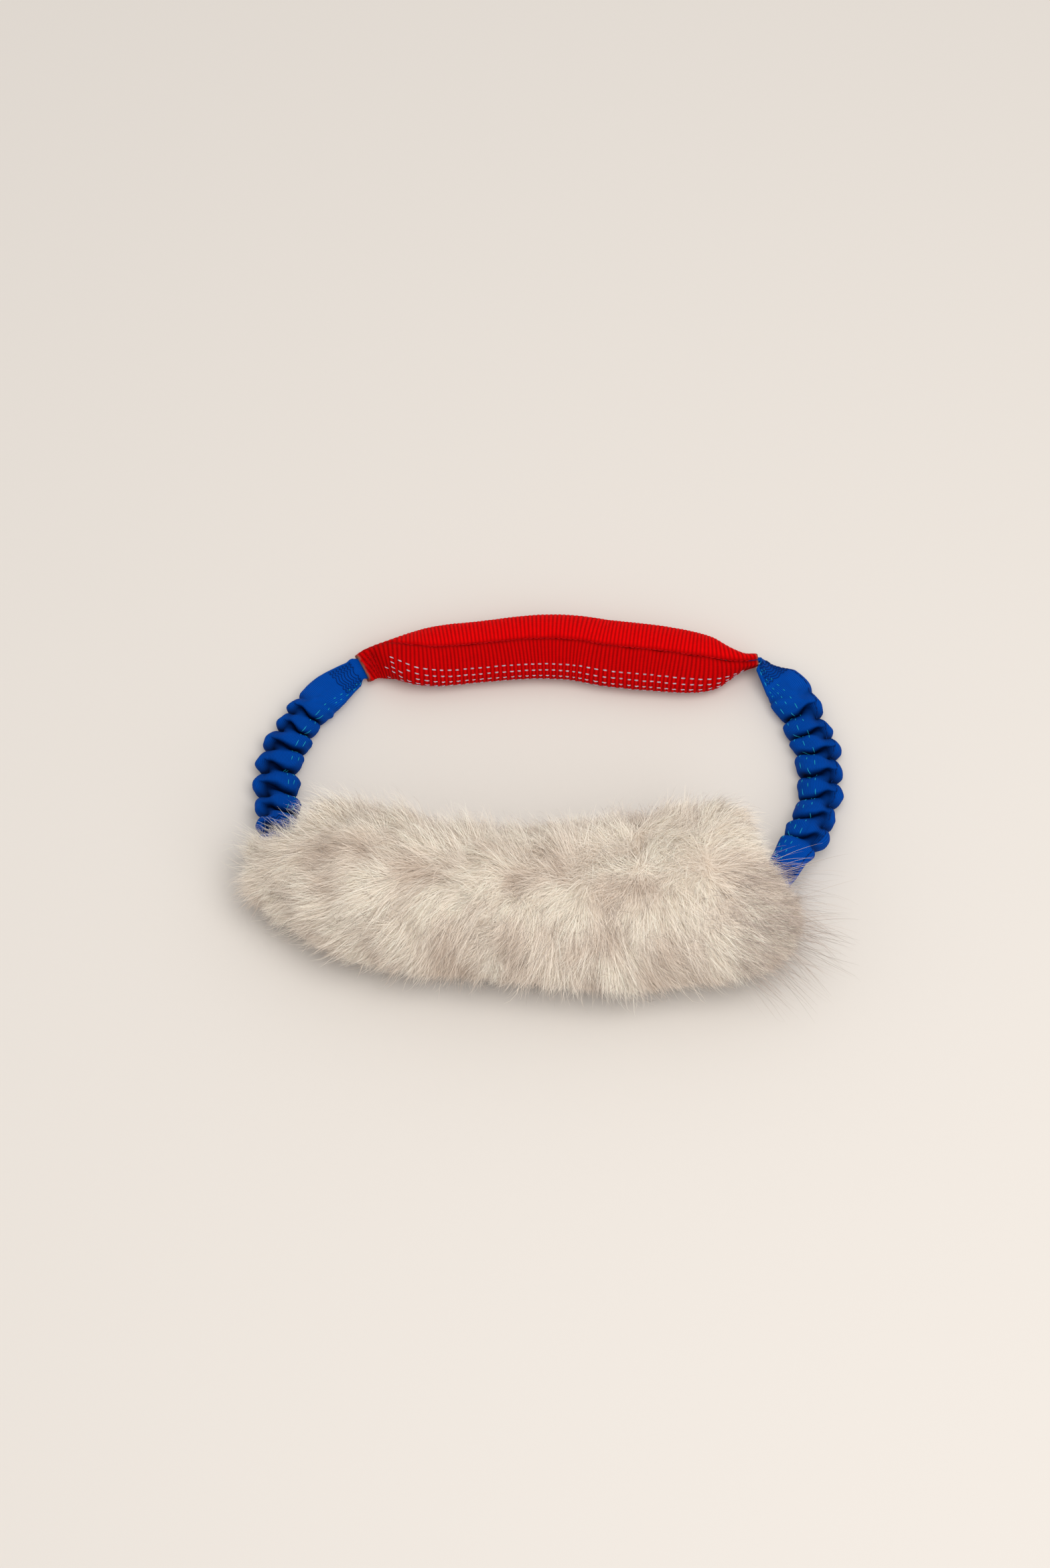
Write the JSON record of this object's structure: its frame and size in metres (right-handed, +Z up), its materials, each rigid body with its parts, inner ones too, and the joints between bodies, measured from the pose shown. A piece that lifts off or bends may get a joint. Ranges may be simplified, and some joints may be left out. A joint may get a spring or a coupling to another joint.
{
  "type": "bungee tug toy",
  "caption": "Dog tug toy: a padded red webbing handle joined by two gathered blue bungee sleeves to a fluffy cream bite tube, as one closed loop lying flat.",
  "frame": {"origin": "middle of the underside of the whole toy as it lies flat, on the surface it lies on", "axes": "+X from the left sleeve to the right one, along the bite tube; +Y from the bite tube to the handle; +Z up"},
  "size_m": [0.2814, 0.212, 0.0571],
  "materials": {
    "red_webbing": "matte",
    "dark_red_thread": "matte",
    "grey_foam": "matte",
    "blue_tubular_fabric": "satin",
    "dark_blue_thread": "matte",
    "white_elastic": "matte",
    "cream_fur": "matte",
    "white_batting": "matte",
    "black_webbing": "matte"
  },
  "bodies": {
    "bite": {"fur_cover": "cream_fur", "bite_padding": "white_batting", "core_strap": "black_webbing"},
    "arms_lower": {"left_sleeve": "blue_tubular_fabric", "right_sleeve": "blue_tubular_fabric", "left_bungee_cord": "white_elastic", "right_bungee_cord": "white_elastic", "left_lower_tab_stitching": "dark_blue_thread", "right_lower_tab_stitching": "dark_blue_thread"},
    "arms_upper": {"left_upper_tab_stitching": "dark_blue_thread", "right_upper_tab_stitching": "dark_blue_thread"},
    "handle": {"handle_front_webbing": "red_webbing", "handle_back_webbing": "red_webbing", "handle_foam_core": "grey_foam", "handle_top_seam": "dark_red_thread", "handle_bottom_seam": "dark_red_thread", "left_handle_end_stitching": "dark_red_thread", "right_handle_end_stitching": "dark_red_thread"}
  },
  "joints": [
    {"name": "loop_fold", "type": "hinge", "parent": "bite", "child": "arms_lower", "pos_m": [-0.12917, -0.02468, 0.0205], "axis": [0.9945, -0.1031, 0.0168], "range_deg": [-90, 90]},
    {"name": "bungee_stretch", "type": "slide", "parent": "arms_lower", "child": "arms_upper", "axis": [0, 1, 0], "range_m": [0, 0.07], "stiffness_N_per_m": 300, "deforming": ["left_sleeve", "right_sleeve", "left_bungee_cord", "right_bungee_cord"]},
    {"name": "handle_roll", "type": "hinge", "parent": "arms_upper", "child": "handle", "pos_m": [-0.08912, 0.07847, 0.008], "axis": [0.9997, 0.0253, 0], "range_deg": [-60, 60], "stiffness_Nm_per_rad": 0.03}
  ]
}
